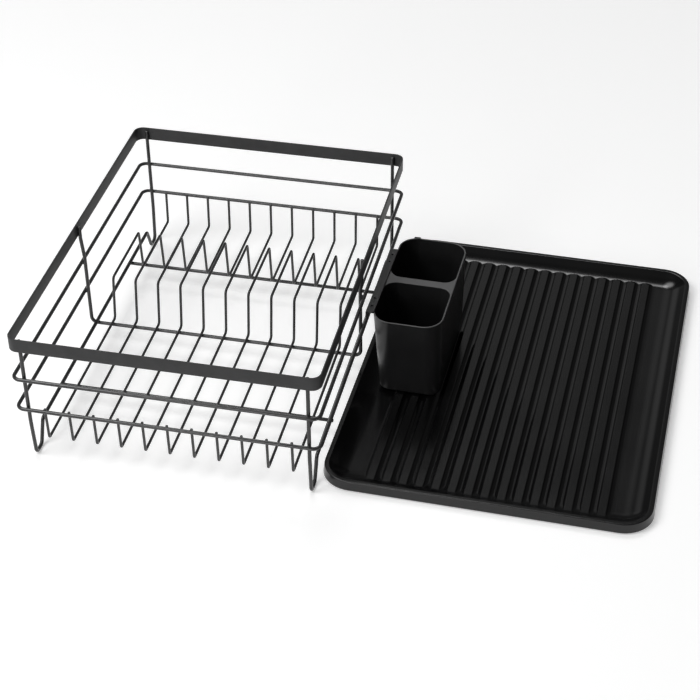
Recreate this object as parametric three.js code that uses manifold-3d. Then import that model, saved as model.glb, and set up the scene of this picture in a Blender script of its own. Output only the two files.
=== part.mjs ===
// Dish drainer: a welded wire rack with a flat rim band, and beside it a ribbed drip tray
// with a two-pocket cutlery holder standing on the ribs. Millimetres, Z up, ground at zero.

import * as THREE from 'three';
import { mergeVertices } from 'three/addons/utils/BufferGeometryUtils.js';
import Module from 'manifold-3d';

const wasm = await Module();
wasm.setup();

// Rack: overall sizes and stock
const RACK_WIDTH = 310;
const RACK_DEPTH = 410;
const RACK_HEIGHT = 148;
const BAND_HEIGHT = 15;
const BAND_THICKNESS = 1.5;
const BAND_CORNER_RADIUS = 10;
const FRAME_WIRE_DIAMETER = 3.9;
const DISH_WIRE_DIAMETER = 2.9;
const WELD_GAP = 0.25;
const WIRE_TOP_BELOW_BAND_TOP = 2.5;

// Rack: rings
const UPPER_RING_BELOW_BAND = 33.4;
const RING_SPACING = 36.7;
const RING_BEYOND_BAND_IN_WIDTH = 0.3;
const RING_CORNER_RADIUS = 8;

// Rack: runner frames that make the legs, the feet and the long bearers
const RUNNER_INSET = 12.9;
const FOOT_BEND_RADIUS = 5.6;
const FOOT_LENGTH = 14.6;
const FOOT_INSET_FROM_LEG = 3.2;
const LEG_KINK_HEIGHT = 45;
const LEG_KINK_RADIUS = 70;
const RISER_LEAN = 10.5;
const RISER_BEND_RADIUS = 5;

// Rack: cross wires below the dish wires
const CROSS_WIRE_SPACING = 113.3;
const CROSS_WIRE_OVERHANG = 0.8;
const CROSS_WIRE_OFFSET = 1;
const MIDDLE_BEND_RADIUS = 7;
const MIDDLE_KINK_ABOVE_RING = 6;
const MIDDLE_KINK_BELOW_BAND = 3;
const MIDDLE_KINK_RADIUS = 20;
const MIDDLE_FRAME_OFFSET = -1.4;

// Rack: dish wires
const DISH_WIRE_COUNT = 11;
const DISH_ROW_MARGIN = 30;
const DISH_FLOOR_HEIGHT = 26.1;
const DISH_STUB_ABOVE_RING = 1;
const DISH_STUB_LEAN = 1.6;
const DISH_END_BEND_RADIUS = 2.8;
const HUMP_FRONT_FOOT = 5.4;
const HUMP_FRONT_LEAN = 6.8;
const HUMP_HEIGHT = 48.9;
const HUMP_BACK_PEAK = 101;
const HUMP_BACK_LEAN = 5;
const HUMP_BEND_RADIUS = 4.5;
const HUMP_PEAK_RADIUS = 2.4;

// Drip tray
const TRAY_WIDTH = 324.8;
const TRAY_DEPTH = 436.2;
const TRAY_HEIGHT = 11.7;
const TRAY_CORNER_RADIUS = 30;
const TRAY_WALL = 2;
const TRAY_LIP_WIDTH = 4.6;
const TRAY_LIP_ROUND = 1.6;
const TRAY_FLOOR_THICKNESS = 2.2;
const TRAY_SLOPE_RUN = 12.6;
const TRAY_FLOOR_FILLET = 6;
const TRAY_SKIRT_FLARE = 1.4;
const TRAY_SKIRT_FOOT_HEIGHT = 1.5;
const TRAY_TUCK_UNDER_RACK = 3.8;
const TRAY_CENTRE_BEHIND_RACK = 26.6;
const TRAY_TURN_DEGREES = -1.3;

// Ribs on the tray's floor
const RIB_COUNT = 15;
const RIB_PITCH = 16.3;
const RIB_TOP_WIDTH = 8;
const RIB_HEIGHT = 2.8;
const RIB_SIDE_RUN = 2.4;
const RIB_SHOULDER = 0.7;
const RIB_END_CHAMFER = 2.2;
const RIB_BACK_MARGIN = 26.5;
const RIB_FRONT_MARGIN = 14;
const RIB_CHANNEL_WALL = 2;

// Cutlery holder
const HOLDER_WIDTH = 72.6;
const HOLDER_DEPTH = 158;
const HOLDER_HEIGHT = 95.6;
const HOLDER_CORNER_RADIUS = 20;
const HOLDER_BASE_CORNER_RADIUS = 12;
const HOLDER_LEFT_TAPER = 6.2;
const HOLDER_RIGHT_TAPER = 1.4;
const HOLDER_FRONT_TAPER = 10.8;
const HOLDER_BACK_TAPER = 11.8;
const HOLDER_WALL = 1.6;
const HOLDER_FLOOR = 2;
const HOLDER_BASE_ROUND = 3;
const HOLDER_WEB_WIDTH = 10.4;
const HOLDER_WEB_THICKNESS = 2;
const HOLDER_WEB_OFFSET = -2;
const POCKET_CORNER_RADIUS = 13;
const POCKET_WEB_TAPER = 3;
const FLANGE_LENGTH = 117;
const FLANGE_OFFSET = -7.8;
const FLANGE_REACH = 7;
const FLANGE_THICKNESS = 2;
const FLANGE_STEP = 1.5;
const HOOK_LENGTH = 30;
const HOOK_DEPTH = 9;
const HOOK_THICKNESS = 1.7;
const CORE_HOLE_DIAMETER = 2.6;
const CORE_HOLE_DEPTH = 1.2;
const CORE_HOLE_END_DISTANCE = 11;
const DRAIN_HOLE_DIAMETER = 6;
const DRAIN_HOLE_PITCH = 18;
const DRAIN_ROWS = 3;
const DRAIN_COLUMNS = 2;
const HOLDER_FROM_TRAY_EDGE = 17.8;
const HOLDER_BEHIND_TRAY_CENTRE = 7;
const STANDING_GAP = 0.3;
const MOULDING_GAP = 0.3;

const CUT_OVERRUN = 1;

// Counts of facets
const FRAME_WIRE_SIDES = 10;
const DISH_WIRE_SIDES = 8;
const DEGREES_PER_BEND_STEP = 24;
const RING_CORNER_STEPS = 5;
const BAND_CORNER_STEPS = 6;
const TRAY_CORNER_STEPS = 8;
const HOLDER_CORNER_STEPS = 7;
const ROUND_STEPS = 3;
const HOLE_SIDES = 10;

// Values worked out from the sizes above
const frameRadius = FRAME_WIRE_DIAMETER / 2;
const dishRadius = DISH_WIRE_DIAMETER / 2;
const bandInnerX = RACK_WIDTH / 2 - BAND_THICKNESS;
const bandInnerY = RACK_DEPTH / 2 - BAND_THICKNESS;
const wireTop = RACK_HEIGHT - WIRE_TOP_BELOW_BAND_TOP;
const upperRingZ = RACK_HEIGHT - BAND_HEIGHT - UPPER_RING_BELOW_BAND;
const lowerRingZ = upperRingZ - RING_SPACING;
const legY = bandInnerY - WELD_GAP - frameRadius;
const ringY = legY + FRAME_WIRE_DIAMETER + WELD_GAP;
const ringX = RACK_WIDTH / 2 + RING_BEYOND_BAND_IN_WIDTH - frameRadius;
const uprightX = ringX - FRAME_WIRE_DIAMETER - WELD_GAP;
const uprightTopX = bandInnerX - WELD_GAP - frameRadius;
const runnerX = RACK_WIDTH / 2 - RUNNER_INSET;
const crossZ = DISH_FLOOR_HEIGHT - dishRadius - WELD_GAP - frameRadius;
const runnerZ = crossZ + FRAME_WIRE_DIAMETER + WELD_GAP;
const stubY = ringY - frameRadius - WELD_GAP - dishRadius;
const humpZ = DISH_FLOOR_HEIGHT + HUMP_HEIGHT;
const dishPitch = (RACK_WIDTH - 2 * DISH_ROW_MARGIN) / (DISH_WIRE_COUNT - 1);

const black = { color: 0x2b2b2c, roughness: 0.5, metalness: 0 };
const steel = { color: 0x3a3a3b, roughness: 0.4, metalness: 0.2 };

const object = new THREE.Group();
object.name = 'dish_drainer';

function addPart(name, geometry, finish, placement) {
  const solid = geometry.index ? geometry : mergeVertices(geometry);
  if (placement) {
    solid.applyMatrix4(placement);
  }
  solid.computeVertexNormals();
  const mesh = new THREE.Mesh(solid, new THREE.MeshStandardMaterial(finish));
  mesh.name = name;
  object.add(mesh);
  return mesh;
}

// A path given by the stations where the section is placed: the two ends of each straight
// and the steps of each bend.
class StationPath extends THREE.Curve {
  constructor(stations) {
    super();
    this.stations = stations;
  }

  station(share) {
    return this.stations[Math.round(share * (this.stations.length - 1))];
  }

  getPointAt(share, target = new THREE.Vector3()) {
    return target.copy(this.station(share).point);
  }

  getTangentAt(share, target = new THREE.Vector3()) {
    return target.copy(this.station(share).tangent);
  }
}

// Stations of a wire that runs straight between its corners and bends round each inner one.
function bentStations(corners, radii) {
  const last = corners.length - 1;
  const first = corners[1].clone().sub(corners[0]).normalize();
  const stations = [{ point: corners[0].clone(), tangent: first }];
  for (let i = 1; i < last; i += 1) {
    const before = corners[i].clone().sub(corners[i - 1]).normalize();
    const after = corners[i + 1].clone().sub(corners[i]).normalize();
    const turn = before.angleTo(after);
    const radius = radii[i - 1];
    const reach = radius * Math.tan(turn / 2);
    const start = corners[i].clone().addScaledVector(before, -reach);
    const inward = after.clone().addScaledVector(before, -before.dot(after)).normalize();
    const centre = start.clone().addScaledVector(inward, radius);
    const steps = Math.max(1, Math.ceil(THREE.MathUtils.radToDeg(turn) / DEGREES_PER_BEND_STEP));
    for (let k = 0; k <= steps; k += 1) {
      const angle = turn * k / steps;
      const point = centre.clone()
        .addScaledVector(inward, -radius * Math.cos(angle))
        .addScaledVector(before, radius * Math.sin(angle));
      const tangent = before.clone().multiplyScalar(Math.cos(angle))
        .addScaledVector(inward, Math.sin(angle));
      stations.push({ point, tangent });
    }
  }
  const end = corners[last].clone().sub(corners[last - 1]).normalize();
  stations.push({ point: corners[last].clone(), tangent: end });
  return stations;
}

function wireSection(radius, sides) {
  const section = new THREE.Shape();
  for (let k = 0; k < sides; k += 1) {
    const angle = 2 * Math.PI * (k + 1 / 2) / sides;
    const x = radius * Math.cos(angle);
    const y = radius * Math.sin(angle);
    if (k === 0) {
      section.moveTo(x, y);
    } else {
      section.lineTo(x, y);
    }
  }
  section.closePath();
  return section;
}

// The section's corners lie outside the round so that the flats keep the wire's thickness.
function circumscribed(radius, sides) {
  return radius / Math.cos(Math.PI / sides);
}

function bentWire(corners, radii, radius, sides) {
  const stations = bentStations(corners, radii);
  const path = new StationPath(stations);
  const geometry = new THREE.ExtrudeGeometry(wireSection(radius, sides), {
    steps: stations.length - 1,
    extrudePath: path,
    bevelEnabled: false,
  });
  return cleaned(geometry);
}

function cleaned(geometry) {
  geometry.deleteAttribute('normal');
  geometry.deleteAttribute('uv');
  return mergeVertices(geometry);
}

// Corners and directions of a rounded rectangle, anticlockwise seen from above.
function roundedOutline(minX, maxX, minY, maxY, radius, steps) {
  const points = [];
  const centres = [
    [maxX - radius, minY + radius, -Math.PI / 2],
    [maxX - radius, maxY - radius, 0],
    [minX + radius, maxY - radius, Math.PI / 2],
    [minX + radius, minY + radius, Math.PI],
  ];
  for (const [x, y, startAngle] of centres) {
    for (let k = 0; k <= steps; k += 1) {
      const angle = startAngle + Math.PI / 2 * k / steps;
      const outX = Math.cos(angle);
      const outY = Math.sin(angle);
      points.push({ x: x + radius * outX, y: y + radius * outY, outX, outY });
    }
  }
  return points;
}

// A wire bent into a closed level ring.
function closedRing(halfX, halfY, height, cornerRadius, radius, sides) {
  const outline = roundedOutline(-halfX, halfX, -halfY, halfY, cornerRadius, RING_CORNER_STEPS);
  const positions = [];
  const index = [];
  for (const place of outline) {
    for (let k = 0; k < sides; k += 1) {
      const angle = 2 * Math.PI * (k + 1 / 2) / sides;
      const out = radius * Math.cos(angle);
      positions.push(place.x + out * place.outX, place.y + out * place.outY);
      positions.push(height + radius * Math.sin(angle));
    }
  }
  for (let i = 0; i < outline.length; i += 1) {
    const next = (i + 1) % outline.length;
    for (let k = 0; k < sides; k += 1) {
      const turn = (k + 1) % sides;
      const a = i * sides + k;
      const b = i * sides + turn;
      const c = next * sides + turn;
      const d = next * sides + k;
      index.push(a, d, c, a, c, b);
    }
  }
  const geometry = new THREE.BufferGeometry();
  geometry.setAttribute('position', new THREE.Float32BufferAttribute(positions, 3));
  geometry.setIndex(index);
  return geometry;
}

// A closed body through level outlines of equal counts, capped at the first and the last.
function loft(levels) {
  const count = levels[0].outline.length;
  const positions = [];
  const index = [];
  for (const level of levels) {
    for (const place of level.outline) {
      positions.push(place.x, place.y, level.height);
    }
  }
  for (let i = 0; i + 1 < levels.length; i += 1) {
    for (let k = 0; k < count; k += 1) {
      const a = i * count + k;
      const b = i * count + (k + 1) % count;
      index.push(a, b, b + count, a, b + count, a + count);
    }
  }
  const top = (levels.length - 1) * count;
  for (let k = 1; k + 1 < count; k += 1) {
    index.push(0, k + 1, k);
    index.push(top, top + k, top + k + 1);
  }
  const geometry = new THREE.BufferGeometry();
  geometry.setAttribute('position', new THREE.Float32BufferAttribute(positions, 3));
  geometry.setIndex(index);
  return geometry;
}

function toSolid(geometry) {
  const mesh = new wasm.Mesh({
    numProp: 3,
    vertProperties: new Float32Array(geometry.attributes.position.array),
    triVerts: new Uint32Array(geometry.index.array),
  });
  mesh.merge();
  return new wasm.Manifold(mesh);
}

function toGeometry(solid) {
  const mesh = solid.getMesh();
  const positions = [];
  for (let i = 0; i < mesh.vertProperties.length; i += mesh.numProp) {
    positions.push(mesh.vertProperties[i], mesh.vertProperties[i + 1], mesh.vertProperties[i + 2]);
  }
  const geometry = new THREE.BufferGeometry();
  geometry.setAttribute('position', new THREE.Float32BufferAttribute(positions, 3));
  geometry.setIndex(Array.from(mesh.triVerts));
  return geometry;
}

function boxSolid(minX, maxX, minY, maxY, minZ, maxZ) {
  const geometry = new THREE.BoxGeometry(maxX - minX, maxY - minY, maxZ - minZ);
  geometry.translate((minX + maxX) / 2, (minY + maxY) / 2, (minZ + maxZ) / 2);
  return toSolid(cleaned(geometry));
}

function pinSolid(x, y, minZ, maxZ, radius) {
  const geometry = new THREE.CylinderGeometry(radius, radius, maxZ - minZ, HOLE_SIDES);
  geometry.rotateX(Math.PI / 2);
  geometry.translate(x, y, (minZ + maxZ) / 2);
  return toSolid(cleaned(geometry));
}

// Rim band

function makeRimBand() {
  const place = (inset) => roundedOutline(
    inset - RACK_WIDTH / 2,
    RACK_WIDTH / 2 - inset,
    inset - RACK_DEPTH / 2,
    RACK_DEPTH / 2 - inset,
    BAND_CORNER_RADIUS - inset,
    BAND_CORNER_STEPS,
  ).map((spot) => new THREE.Vector2(spot.x, spot.y));
  const shape = new THREE.Shape(place(0));
  shape.holes.push(new THREE.Path(place(BAND_THICKNESS)));
  const geometry = new THREE.ExtrudeGeometry(shape, { depth: BAND_HEIGHT, bevelEnabled: false });
  geometry.translate(0, 0, RACK_HEIGHT - BAND_HEIGHT);
  return cleaned(geometry);
}

// Frame wires

function frameWire(corners, radii) {
  const radius = circumscribed(frameRadius, FRAME_WIRE_SIDES);
  return bentWire(corners, radii, radius, FRAME_WIRE_SIDES);
}

function makeRing(height) {
  const radius = circumscribed(frameRadius, FRAME_WIRE_SIDES);
  return closedRing(ringX, ringY, height, RING_CORNER_RADIUS, radius, FRAME_WIRE_SIDES);
}

function makeRunnerFrame(x) {
  const at = (y, z) => new THREE.Vector3(x, y, z);
  const toeY = legY - FOOT_INSET_FROM_LEG;
  const heelY = toeY - FOOT_LENGTH;
  const soleZ = frameRadius;
  const half = [
    [legY, wireTop],
    [legY, LEG_KINK_HEIGHT],
    [toeY, soleZ],
    [heelY, soleZ],
    [heelY - RISER_LEAN, runnerZ],
  ];
  const halfRadii = [LEG_KINK_RADIUS, FOOT_BEND_RADIUS, FOOT_BEND_RADIUS, RISER_BEND_RADIUS];
  const front = half.map(([y, z]) => at(-y, z));
  const back = half.map(([y, z]) => at(y, z)).reverse();
  return frameWire([...front, ...back], [...halfRadii, ...halfRadii.slice().reverse()]);
}

function makeCrossWire(y) {
  const reach = runnerX + frameRadius + CROSS_WIRE_OVERHANG;
  return frameWire([new THREE.Vector3(-reach, y, crossZ), new THREE.Vector3(reach, y, crossZ)], []);
}

function makeMiddleFrame() {
  const half = [
    [uprightTopX, wireTop],
    [uprightTopX, RACK_HEIGHT - BAND_HEIGHT - MIDDLE_KINK_BELOW_BAND],
    [uprightX, upperRingZ + frameRadius + MIDDLE_KINK_ABOVE_RING],
    [uprightX, crossZ],
  ];
  const halfRadii = [MIDDLE_KINK_RADIUS, MIDDLE_KINK_RADIUS, MIDDLE_BEND_RADIUS];
  const left = half.map(([x, z]) => new THREE.Vector3(-x, MIDDLE_FRAME_OFFSET, z));
  const right = half.map(([x, z]) => new THREE.Vector3(x, MIDDLE_FRAME_OFFSET, z)).reverse();
  return frameWire([...left, ...right], [...halfRadii, ...halfRadii.slice().reverse()]);
}

// Dish wires

function makeDishWire(x) {
  const stubTop = lowerRingZ + DISH_STUB_ABOVE_RING;
  const bendY = stubY - DISH_STUB_LEAN;
  const corners = [
    [-stubY, stubTop],
    [-stubY, lowerRingZ - frameRadius],
    [-bendY, DISH_FLOOR_HEIGHT],
    [HUMP_FRONT_FOOT, DISH_FLOOR_HEIGHT],
    [HUMP_FRONT_FOOT + HUMP_FRONT_LEAN, humpZ],
    [HUMP_BACK_PEAK, humpZ],
    [HUMP_BACK_PEAK + HUMP_BACK_LEAN, DISH_FLOOR_HEIGHT],
    [bendY, DISH_FLOOR_HEIGHT],
    [stubY, lowerRingZ - frameRadius],
    [stubY, stubTop],
  ].map(([y, z]) => new THREE.Vector3(x, y, z));
  const radii = [
    DISH_END_BEND_RADIUS,
    DISH_END_BEND_RADIUS,
    HUMP_BEND_RADIUS,
    HUMP_BEND_RADIUS,
    HUMP_PEAK_RADIUS,
    HUMP_BEND_RADIUS,
    DISH_END_BEND_RADIUS,
    DISH_END_BEND_RADIUS,
  ];
  const radius = circumscribed(dishRadius, DISH_WIRE_SIDES);
  return bentWire(corners, radii, radius, DISH_WIRE_SIDES);
}

// Drip tray

// Rounds one corner of a profile given as [inset, height] pairs.
function roundedCorner(before, corner, after, radius, steps) {
  const back = new THREE.Vector2(before[0] - corner[0], before[1] - corner[1]);
  const on = new THREE.Vector2(after[0] - corner[0], after[1] - corner[1]);
  const limit = Math.min(back.length(), on.length()) / 2;
  back.normalize();
  on.normalize();
  const halfAngle = Math.acos(THREE.MathUtils.clamp(back.dot(on), -1, 1)) / 2;
  const reach = Math.min(radius / Math.tan(halfAngle), limit);
  const size = reach * Math.tan(halfAngle);
  const middle = back.clone().add(on).normalize();
  const centre = new THREE.Vector2(corner[0], corner[1])
    .addScaledVector(middle, size / Math.sin(halfAngle));
  const start = new THREE.Vector2(corner[0], corner[1]).addScaledVector(back, reach).sub(centre);
  const turn = Math.PI - 2 * halfAngle;
  const side = Math.sign(start.clone().cross(on)) || 1;
  const points = [];
  for (let k = 0; k <= steps; k += 1) {
    const angle = side * turn * k / steps;
    const x = start.x * Math.cos(angle) - start.y * Math.sin(angle);
    const y = start.x * Math.sin(angle) + start.y * Math.cos(angle);
    points.push([centre.x + x, centre.y + y]);
  }
  return points;
}

function trayProfile() {
  const top = TRAY_HEIGHT;
  const floor = TRAY_FLOOR_THICKNESS;
  const slope = Math.atan2(top - floor, TRAY_SLOPE_RUN);
  const lipInner = [TRAY_LIP_WIDTH, top];
  const floorEdge = [TRAY_LIP_WIDTH + TRAY_SLOPE_RUN, floor];
  const floorFar = [floorEdge[0] + 2 * TRAY_FLOOR_FILLET, floor];
  const lipOuter = [0, top];
  const skirtOuter = [-TRAY_SKIRT_FLARE, TRAY_SKIRT_FOOT_HEIGHT];
  const skirtInner = [TRAY_WALL - TRAY_SKIRT_FLARE, TRAY_SKIRT_FOOT_HEIGHT];
  const underLip = [TRAY_WALL, top - TRAY_WALL];
  const slopeShift = TRAY_WALL / Math.sin(slope) - TRAY_WALL / Math.tan(slope);
  const underSlopeTop = [TRAY_LIP_WIDTH - slopeShift, top - TRAY_WALL];
  const underRun = (top - TRAY_WALL) / Math.tan(slope);
  const underSlopeFoot = [underSlopeTop[0] + underRun, 0];
  const underFar = [floorFar[0], 0];
  return [
    ...roundedCorner(underFar, underSlopeFoot, underSlopeTop, TRAY_FLOOR_FILLET, ROUND_STEPS),
    underSlopeTop,
    underLip,
    skirtInner,
    skirtOuter,
    ...roundedCorner(skirtOuter, lipOuter, lipInner, TRAY_LIP_ROUND, ROUND_STEPS),
    ...roundedCorner(lipOuter, lipInner, floorEdge, TRAY_LIP_ROUND, ROUND_STEPS),
    ...roundedCorner(lipInner, floorEdge, floorFar, TRAY_FLOOR_FILLET, ROUND_STEPS + 1),
  ];
}

function trayShell() {
  const levels = trayProfile().map(([inset, height]) => ({
    height,
    outline: roundedOutline(
      inset - TRAY_WIDTH / 2,
      TRAY_WIDTH / 2 - inset,
      inset - TRAY_DEPTH / 2,
      TRAY_DEPTH / 2 - inset,
      TRAY_CORNER_RADIUS - inset,
      TRAY_CORNER_STEPS,
    ),
  }));
  return toSolid(loft(levels));
}

// A bar with sloping sides and chamfered ends; its top outline is given, and each lower
// level grows outwards.
function taperedBar(x, halfWidth, minY, maxY, levels) {
  const stages = levels.map(([grow, height]) => {
    const wide = halfWidth + grow;
    const cut = Math.min(RIB_END_CHAMFER, wide / 2);
    const low = minY - grow;
    const high = maxY + grow;
    const outline = [
      [wide - cut, low],
      [wide, low + cut],
      [wide, high - cut],
      [wide - cut, high],
      [cut - wide, high],
      [-wide, high - cut],
      [-wide, low + cut],
      [cut - wide, low],
    ].map(([offset, y]) => ({ x: x + offset, y }));
    return { height, outline };
  });
  return toSolid(loft(stages));
}

function makeTray() {
  const floor = TRAY_FLOOR_THICKNESS;
  const top = floor + RIB_HEIGHT;
  const halfTop = RIB_TOP_WIDTH / 2;
  const minY = RIB_FRONT_MARGIN - TRAY_DEPTH / 2;
  const maxY = TRAY_DEPTH / 2 - RIB_BACK_MARGIN;
  const channelTop = top - TRAY_FLOOR_THICKNESS;
  const slopeRate = RIB_SIDE_RUN / RIB_HEIGHT;
  const channelMinY = TRAY_LIP_WIDTH + TRAY_SLOPE_RUN + TRAY_FLOOR_FILLET - TRAY_DEPTH / 2;
  let solid = trayShell();
  for (let i = 0; i < RIB_COUNT; i += 1) {
    const x = (i - (RIB_COUNT - 1) / 2) * RIB_PITCH;
    const root = floor / 2;
    const rib = taperedBar(x, halfTop, minY, maxY, [
      [slopeRate * (top - root), root],
      [slopeRate * RIB_SHOULDER, top - RIB_SHOULDER],
      [-RIB_SHOULDER / 3, top],
    ]);
    solid = solid.add(rib);
  }
  for (let i = 0; i < RIB_COUNT; i += 1) {
    const x = (i - (RIB_COUNT - 1) / 2) * RIB_PITCH;
    const channel = taperedBar(x, halfTop - RIB_CHANNEL_WALL / 2, channelMinY, maxY - RIB_CHANNEL_WALL, [
      [slopeRate * (channelTop + CUT_OVERRUN), -CUT_OVERRUN],
      [0, channelTop],
    ]);
    solid = solid.subtract(channel);
  }
  return toGeometry(solid);
}

// Cutlery holder: its own axes start at the middle of its top outline, at the base's height

function holderCorner(height) {
  const drop = 1 - height / HOLDER_HEIGHT;
  return HOLDER_CORNER_RADIUS - (HOLDER_CORNER_RADIUS - HOLDER_BASE_CORNER_RADIUS) * drop;
}

function holderOutline(height, inset) {
  const drop = 1 - height / HOLDER_HEIGHT;
  return roundedOutline(
    HOLDER_LEFT_TAPER * drop + inset - HOLDER_WIDTH / 2,
    HOLDER_WIDTH / 2 - inset - HOLDER_RIGHT_TAPER * drop,
    HOLDER_FRONT_TAPER * drop + inset - HOLDER_DEPTH / 2,
    HOLDER_DEPTH / 2 - inset - HOLDER_BACK_TAPER * drop,
    holderCorner(height) - inset,
    HOLDER_CORNER_STEPS,
  );
}

function holderShell() {
  const levels = [];
  for (let k = 0; k <= ROUND_STEPS; k += 1) {
    const angle = Math.PI / 2 * k / ROUND_STEPS;
    const height = HOLDER_BASE_ROUND * (1 - Math.cos(angle));
    const inset = HOLDER_BASE_ROUND * (1 - Math.sin(angle));
    levels.push({ height, outline: holderOutline(height, inset) });
  }
  levels.push({ height: HOLDER_HEIGHT, outline: holderOutline(HOLDER_HEIGHT, 0) });
  return toSolid(loft(levels));
}

// One pocket; side is -1 for the front one and 1 for the back one.
function pocketLimits(side, height) {
  const drop = 1 - height / HOLDER_HEIGHT;
  const webSide = HOLDER_WEB_OFFSET + side * (HOLDER_WEB_WIDTH / 2 + POCKET_WEB_TAPER * drop);
  const frontWall = HOLDER_FRONT_TAPER * drop + HOLDER_WALL - HOLDER_DEPTH / 2;
  const backWall = HOLDER_DEPTH / 2 - HOLDER_WALL - HOLDER_BACK_TAPER * drop;
  return {
    minX: HOLDER_LEFT_TAPER * drop + HOLDER_WALL - HOLDER_WIDTH / 2,
    maxX: HOLDER_WIDTH / 2 - HOLDER_WALL - HOLDER_RIGHT_TAPER * drop,
    minY: side < 0 ? frontWall : webSide,
    maxY: side < 0 ? webSide : backWall,
  };
}

// The outer corners of a pocket follow the shell; the inner ones keep one radius.
function pocketOutline(side, height, inset) {
  const { minX, maxX, minY, maxY } = pocketLimits(side, height);
  const outer = holderCorner(height) - HOLDER_WALL - inset;
  const inner = POCKET_CORNER_RADIUS - inset;
  const front = side < 0 ? outer : inner;
  const back = side < 0 ? inner : outer;
  const lowY = minY + inset;
  const highY = maxY - inset;
  const lowX = minX + inset;
  const highX = maxX - inset;
  const half = (HOLDER_CORNER_STEPS + 1) * 2;
  const frontHalf = roundedOutline(lowX, highX, lowY, highY, front, HOLDER_CORNER_STEPS);
  const backHalf = roundedOutline(lowX, highX, lowY, highY, back, HOLDER_CORNER_STEPS);
  const quarter = half / 2;
  return [
    ...frontHalf.slice(0, quarter),
    ...backHalf.slice(quarter, quarter + half),
    ...frontHalf.slice(quarter + half),
  ];
}

function pocketSolid(side) {
  const levels = [];
  for (let k = 0; k <= ROUND_STEPS; k += 1) {
    const angle = Math.PI / 2 * k / ROUND_STEPS;
    const height = HOLDER_FLOOR + HOLDER_BASE_ROUND * (1 - Math.cos(angle));
    const inset = HOLDER_BASE_ROUND * (1 - Math.sin(angle));
    levels.push({ height, outline: pocketOutline(side, height, inset) });
  }
  const above = HOLDER_HEIGHT + FLANGE_STEP + CUT_OVERRUN;
  levels.push({ height: HOLDER_HEIGHT, outline: pocketOutline(side, HOLDER_HEIGHT, 0) });
  levels.push({ height: above, outline: pocketOutline(side, HOLDER_HEIGHT, 0) });
  return toSolid(loft(levels));
}

// The web between the pockets is hollow and open below.
function webHollow() {
  const levels = [-CUT_OVERRUN, HOLDER_HEIGHT - HOLDER_WEB_THICKNESS].map((height) => {
    const drop = 1 - height / HOLDER_HEIGHT;
    const halfY = HOLDER_WEB_WIDTH / 2 + POCKET_WEB_TAPER * drop - HOLDER_WALL;
    const outline = [
      [HOLDER_WIDTH / 2 - HOLDER_WALL - HOLDER_RIGHT_TAPER * drop, -halfY],
      [HOLDER_WIDTH / 2 - HOLDER_WALL - HOLDER_RIGHT_TAPER * drop, halfY],
      [HOLDER_LEFT_TAPER * drop + HOLDER_WALL - HOLDER_WIDTH / 2, halfY],
      [HOLDER_LEFT_TAPER * drop + HOLDER_WALL - HOLDER_WIDTH / 2, -halfY],
    ].map(([x, y]) => ({ x, y: y + HOLDER_WEB_OFFSET }));
    return { height, outline };
  });
  return toSolid(loft(levels));
}

function drainHoles() {
  const pins = [];
  for (const side of [-1, 1]) {
    const { minX, maxX, minY, maxY } = pocketLimits(side, HOLDER_FLOOR);
    for (let row = 0; row < DRAIN_ROWS; row += 1) {
      for (let column = 0; column < DRAIN_COLUMNS; column += 1) {
        const x = (minX + maxX) / 2 + (column - (DRAIN_COLUMNS - 1) / 2) * DRAIN_HOLE_PITCH;
        const y = (minY + maxY) / 2 + (row - (DRAIN_ROWS - 1) / 2) * DRAIN_HOLE_PITCH;
        pins.push(pinSolid(x, y, -CUT_OVERRUN, HOLDER_FLOOR + CUT_OVERRUN, DRAIN_HOLE_DIAMETER / 2));
      }
    }
  }
  return pins;
}

// The holder is in three bodies that touch: two pockets that meet in the middle of the web,
// and the flange, whose tongue lies on the left wall.
function makePockets() {
  let solid = holderShell().subtract(pocketSolid(-1)).subtract(pocketSolid(1)).subtract(webHollow());
  for (const pin of drainHoles()) {
    solid = solid.subtract(pin);
  }
  const reach = HOLDER_WIDTH + HOLDER_DEPTH;
  const cutAway = (minY, maxY) => toGeometry(
    solid.subtract(boxSolid(-reach, reach, minY, maxY, -CUT_OVERRUN, HOLDER_HEIGHT + CUT_OVERRUN)),
  );
  return {
    front: cutAway(HOLDER_WEB_OFFSET - MOULDING_GAP / 2, reach),
    back: cutAway(-reach, HOLDER_WEB_OFFSET + MOULDING_GAP / 2),
  };
}

function makeFlange() {
  const wallX = -HOLDER_WIDTH / 2;
  const edgeX = wallX - FLANGE_REACH;
  const plateX = wallX - MOULDING_GAP;
  const top = HOLDER_HEIGHT + FLANGE_STEP;
  const minY = FLANGE_OFFSET - FLANGE_LENGTH / 2;
  const maxY = FLANGE_OFFSET + FLANGE_LENGTH / 2;
  const hookX = edgeX + HOOK_THICKNESS;
  const plate = boxSolid(edgeX, plateX, minY, maxY, top - FLANGE_THICKNESS, top);
  const tongueFoot = HOLDER_HEIGHT + MOULDING_GAP;
  const tongue = boxSolid(plateX - MOULDING_GAP, wallX + HOLDER_WALL, minY, maxY, tongueFoot, top);
  const frontHook = boxSolid(edgeX, hookX, minY, minY + HOOK_LENGTH, top - HOOK_DEPTH, top);
  const backHook = boxSolid(edgeX, hookX, maxY - HOOK_LENGTH, maxY, top - HOOK_DEPTH, top);
  let solid = plate.add(tongue).add(frontHook).add(backHook);
  const holeX = (hookX + plateX) / 2;
  const far = HOOK_LENGTH - CORE_HOLE_END_DISTANCE / 2;
  const holeYs = [
    minY + CORE_HOLE_END_DISTANCE,
    minY + far,
    maxY - far,
    maxY - CORE_HOLE_END_DISTANCE,
  ];
  for (const y of holeYs) {
    solid = solid.subtract(pinSolid(holeX, y, top - CORE_HOLE_DEPTH, top + CUT_OVERRUN,
      CORE_HOLE_DIAMETER / 2));
  }
  return toGeometry(solid);
}

// The rack

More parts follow.
